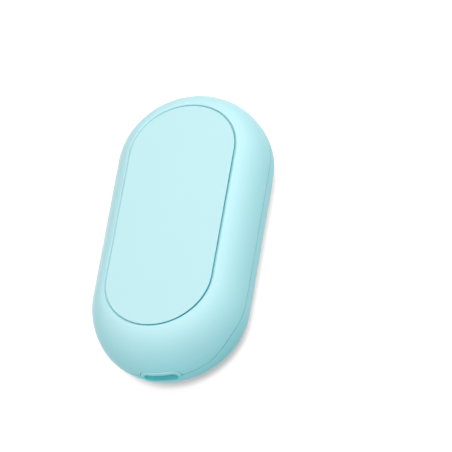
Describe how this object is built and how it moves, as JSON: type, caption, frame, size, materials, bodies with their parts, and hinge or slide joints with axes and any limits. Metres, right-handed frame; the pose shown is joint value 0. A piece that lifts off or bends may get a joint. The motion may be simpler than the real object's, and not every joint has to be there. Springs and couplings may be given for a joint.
{
  "type": "rechargeable hand warmer",
  "caption": "Pebble-shaped pocket hand warmer with a heating plate in the front face, a sprung power button and light holes in the rear face, and a charging socket in one end.",
  "frame": {"origin": "centre of the flat rear face, on the surface that the warmer lies on", "axes": "+Z out of the heating plate, +Y along the length towards the button and the lights, charging socket at -Y"},
  "size_m": [0.052, 0.1051, 0.0262],
  "materials": {
    "casing_plastic": "fine satin",
    "plate_paint": "aluminium, sprayed satin to match the casing",
    "button_plastic": "fine satin",
    "clear_guide": "clear acrylic",
    "socket_steel": "nickel plated",
    "black_moulding": "matt",
    "contact_gold": "gold plated",
    "screw_steel": "zinc plated",
    "spring_steel": "bright rolled",
    "white_stem": "satin",
    "board_laminate": "solder mask",
    "lamp_resin": "clear resin",
    "coil_ferrite": "sintered",
    "capacitor_ceramic": "sintered",
    "cell_foil": "laminated foil",
    "heater_polyimide": "glossy film",
    "foam": "closed-cell foam",
    "tape": "foam tape",
    "tray_plastic": "satin",
    "sensor_resin": "dipped resin",
    "lead_red": "silicone",
    "lead_black": "silicone",
    "lead_white": "silicone"
  },
  "bodies": {
    "casing": {"front_shell": "casing_plastic", "rear_shell": "casing_plastic", "heating_plate": "plate_paint", "plate_adhesive": "tape", "heater_film": "heater_polyimide", "insulation_pad": "foam", "thermistor": "sensor_resin", "thermistor_leads": "lead_white", "heater_leads": "lead_white", "shell_screws": "screw_steel", "board_screws": "screw_steel", "socket_shell": "socket_steel", "socket_tongue": "black_moulding", "socket_contacts": "contact_gold", "light_guide": "clear_guide", "indicator_leds": "lamp_resin", "switch_base": "black_moulding", "switch_cover": "spring_steel", "switch_dome": "spring_steel", "control_board": "board_laminate", "power_chip": "black_moulding", "power_inductor": "coil_ferrite", "heater_transistor": "black_moulding", "capacitors": "capacitor_ceramic", "battery_tray": "tray_plastic", "battery_cell": "cell_foil", "battery_tape": "tape", "battery_pad": "foam", "protection_board": "board_laminate", "battery_lead_black": "lead_black", "battery_lead_red": "lead_red"},
    "button": {"power_button": "button_plastic"},
    "plunger": {"switch_plunger": "white_stem"}
  },
  "joints": [
    {"name": "button_press", "type": "slide", "parent": "casing", "child": "button", "axis": [0, 0, 1], "range_m": [0, 0.0003], "stiffness_N_per_m": 4000},
    {"name": "plunger_press", "type": "slide", "parent": "casing", "child": "plunger", "axis": [0, 0, 1], "range_m": [0, 0.0003], "deforming": ["switch_dome"]}
  ],
  "couplings": [
    {"joint": "plunger_press", "follows": "button_press", "ratio": 1}
  ]
}
